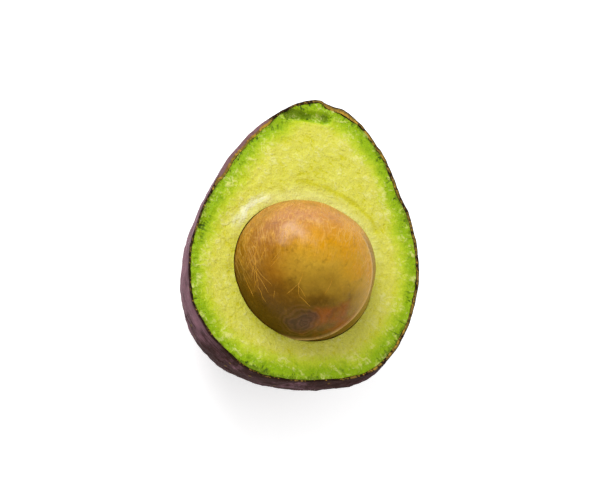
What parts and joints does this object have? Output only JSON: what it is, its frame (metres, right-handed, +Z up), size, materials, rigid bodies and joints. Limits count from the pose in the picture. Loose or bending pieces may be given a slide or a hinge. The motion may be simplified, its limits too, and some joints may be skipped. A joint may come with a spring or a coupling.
{
  "type": "avocado half",
  "caption": "Egg-shaped avocado cut in half lengthwise through the stem end, lying on its back with the seed still in its hollow.",
  "frame": {"origin": "centre of the small flat spot on the back of the peel that the half rests on", "axes": "+Z up, square to the level cut face; +Y along the fruit towards the narrow stem end; +X across the fruit, away from the side that both ends lean to"},
  "size_m": [0.0712, 0.09, 0.0581],
  "materials": {
    "peel": "satin",
    "flesh": "satin",
    "seed": "satin"
  },
  "bodies": {
    "root": {"peel": "peel", "flesh": "flesh", "seed": "seed"}
  },
  "joints": []
}
